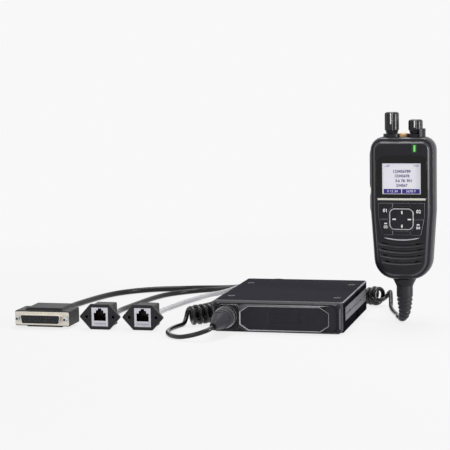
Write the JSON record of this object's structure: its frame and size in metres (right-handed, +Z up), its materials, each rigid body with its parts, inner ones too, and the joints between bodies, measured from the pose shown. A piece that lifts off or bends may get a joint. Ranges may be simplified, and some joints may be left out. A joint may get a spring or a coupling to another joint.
{
  "type": "mobile transceiver",
  "caption": "Flat metal radio unit with a control handset on a curly cord, and three rear cables ending in a D connector and two flanged network sockets.",
  "frame": {"origin": "centre of the main unit's underside", "axes": "+X to the right seen from the front, +Y to the rear, +Z up; the front panel faces -Y"},
  "size_m": [0.3876, 0.2813, 0.1966],
  "materials": {
    "case": "fine textured paint",
    "cover": "fine textured paint",
    "black_steel": "black zinc",
    "bezel": "satin",
    "pad": "satin",
    "rail": "satin anodised",
    "board": "solder mask",
    "steel": "zinc",
    "tin": "tinned",
    "spreader": "milled",
    "nickel": "nickel plated",
    "connector_black": "moulded",
    "seal": "moulded",
    "plug_metal": "dark chromed",
    "boot": "moulded",
    "cord": "smooth jacket",
    "cable_black": "smooth jacket",
    "cable_grey": "smooth jacket",
    "plate": "tinned",
    "hood": "moulded",
    "jack": "moulded",
    "gold": "gold plated",
    "handset": "fine texture",
    "gasket": "silicone",
    "window": "gloss",
    "lcd": "backlit",
    "lamp": "translucent",
    "accent": "satin silver",
    "keys": "silicone",
    "speaker": "painted",
    "orange": "satin",
    "encoder": "plain",
    "knob": "satin"
  },
  "bodies": {
    "main_unit": {"chassis": "case", "top_cover": "cover", "cover_screws": "black_steel", "front_bezel": "bezel", "front_pad": "pad", "side_rails": "rail", "main_board": "board", "board_screws": "steel", "radio_module": "tin", "heat_spreader": "spreader", "antenna_connector": "nickel", "power_inlet": "connector_black", "cable_seal": "seal", "ground_screw": "steel", "mic_socket": "plug_metal", "mic_plug_body": "plug_metal", "mic_plug_boot": "boot", "mic_lead": "cord", "mic_coil_left": "cord", "mic_coil_rear": "cord", "mic_coil_right": "cord", "mic_tail": "cord", "data_cable": "cable_black", "network_cable_a": "cable_black", "network_cable_b": "cable_grey", "dsub_shell": "plate", "dsub_insert": "connector_black", "dsub_hood": "hood", "dsub_posts": "steel", "socket_a_flange": "hood", "socket_a_jack": "jack", "socket_b_flange": "hood", "socket_b_jack": "jack", "jack_contacts": "gold"},
    "handset": {"front_case": "handset", "rear_case": "handset", "case_seal": "gasket", "case_screws": "black_steel", "display_window": "window", "lcd_panel": "lcd", "led_lens": "lamp", "accent_bar": "accent", "keypad_mat": "keys", "handset_board": "board", "speaker": "speaker", "encoders": "encoder", "cord_boot": "boot"},
    "plug_ring": {"mic_plug_ring": "plug_metal"},
    "ptt": {"ptt_button": "keys"},
    "side_key": {"side_key": "keys"},
    "emergency": {"emergency_button": "orange"},
    "selector": {"selector_knob": "knob"},
    "volume": {"volume_knob": "knob"},
    "key_ul": {"key_upper_left": "keys"},
    "key_ur": {"key_upper_right": "keys"},
    "key_ll": {"key_lower_left": "keys"},
    "key_lr": {"key_lower_right": "keys"},
    "rocker": {"dpad_rocker": "steel"},
    "dpad": {"dpad_cap": "keys"}
  },
  "joints": [
    {"name": "handset_lift", "type": "slide", "parent": "main_unit", "child": "handset", "axis": [0, 0, 1], "range_m": [0, 0.12]},
    {"name": "plug_ring_turn", "type": "hinge", "parent": "main_unit", "child": "plug_ring", "pos_m": [-0.047, -0.0786, 0.0142], "axis": [0, 1, 0], "continuous": true},
    {"name": "ptt_press", "type": "slide", "parent": "handset", "child": "ptt", "axis": [0.9997, -0.0262, 0], "range_m": [0, 0.0008], "stiffness_N_per_m": 600},
    {"name": "side_key_press", "type": "slide", "parent": "handset", "child": "side_key", "axis": [0.9997, -0.0262, 0], "range_m": [0, 0.0006], "stiffness_N_per_m": 500},
    {"name": "emergency_press", "type": "slide", "parent": "handset", "child": "emergency", "axis": [0, 0, -1], "range_m": [0, 0.001], "stiffness_N_per_m": 500},
    {"name": "selector_turn", "type": "hinge", "parent": "handset", "child": "selector", "pos_m": [0.09649, -0.00131, 0.177], "axis": [0, 0, 1], "continuous": true},
    {"name": "volume_turn", "type": "hinge", "parent": "handset", "child": "volume", "pos_m": [0.11848, -0.00189, 0.177], "axis": [0, 0, 1], "range_deg": [-135, 135]},
    {"name": "key_ul_press", "type": "slide", "parent": "handset", "child": "key_ul", "axis": [0.0262, 0.9997, 0], "range_m": [0, 0.0006], "stiffness_N_per_m": 400},
    {"name": "key_ur_press", "type": "slide", "parent": "handset", "child": "key_ur", "axis": [0.0262, 0.9997, 0], "range_m": [0, 0.0006], "stiffness_N_per_m": 400},
    {"name": "key_ll_press", "type": "slide", "parent": "handset", "child": "key_ll", "axis": [0.0262, 0.9997, 0], "range_m": [0, 0.0006], "stiffness_N_per_m": 400},
    {"name": "key_lr_press", "type": "slide", "parent": "handset", "child": "key_lr", "axis": [0.0262, 0.9997, 0], "range_m": [0, 0.0006], "stiffness_N_per_m": 400},
    {"name": "dpad_up_down", "type": "hinge", "parent": "handset", "child": "rocker", "pos_m": [0.1072, -0.0126, 0.09904], "axis": [0.9997, -0.0262, 0], "range_deg": [-3, 3], "stiffness_Nm_per_rad": 0.12},
    {"name": "dpad_left_right", "type": "hinge", "parent": "rocker", "child": "dpad", "pos_m": [0.1072, -0.0126, 0.09904], "axis": [0, 0, 1], "range_deg": [-3, 3], "stiffness_Nm_per_rad": 0.12}
  ]
}
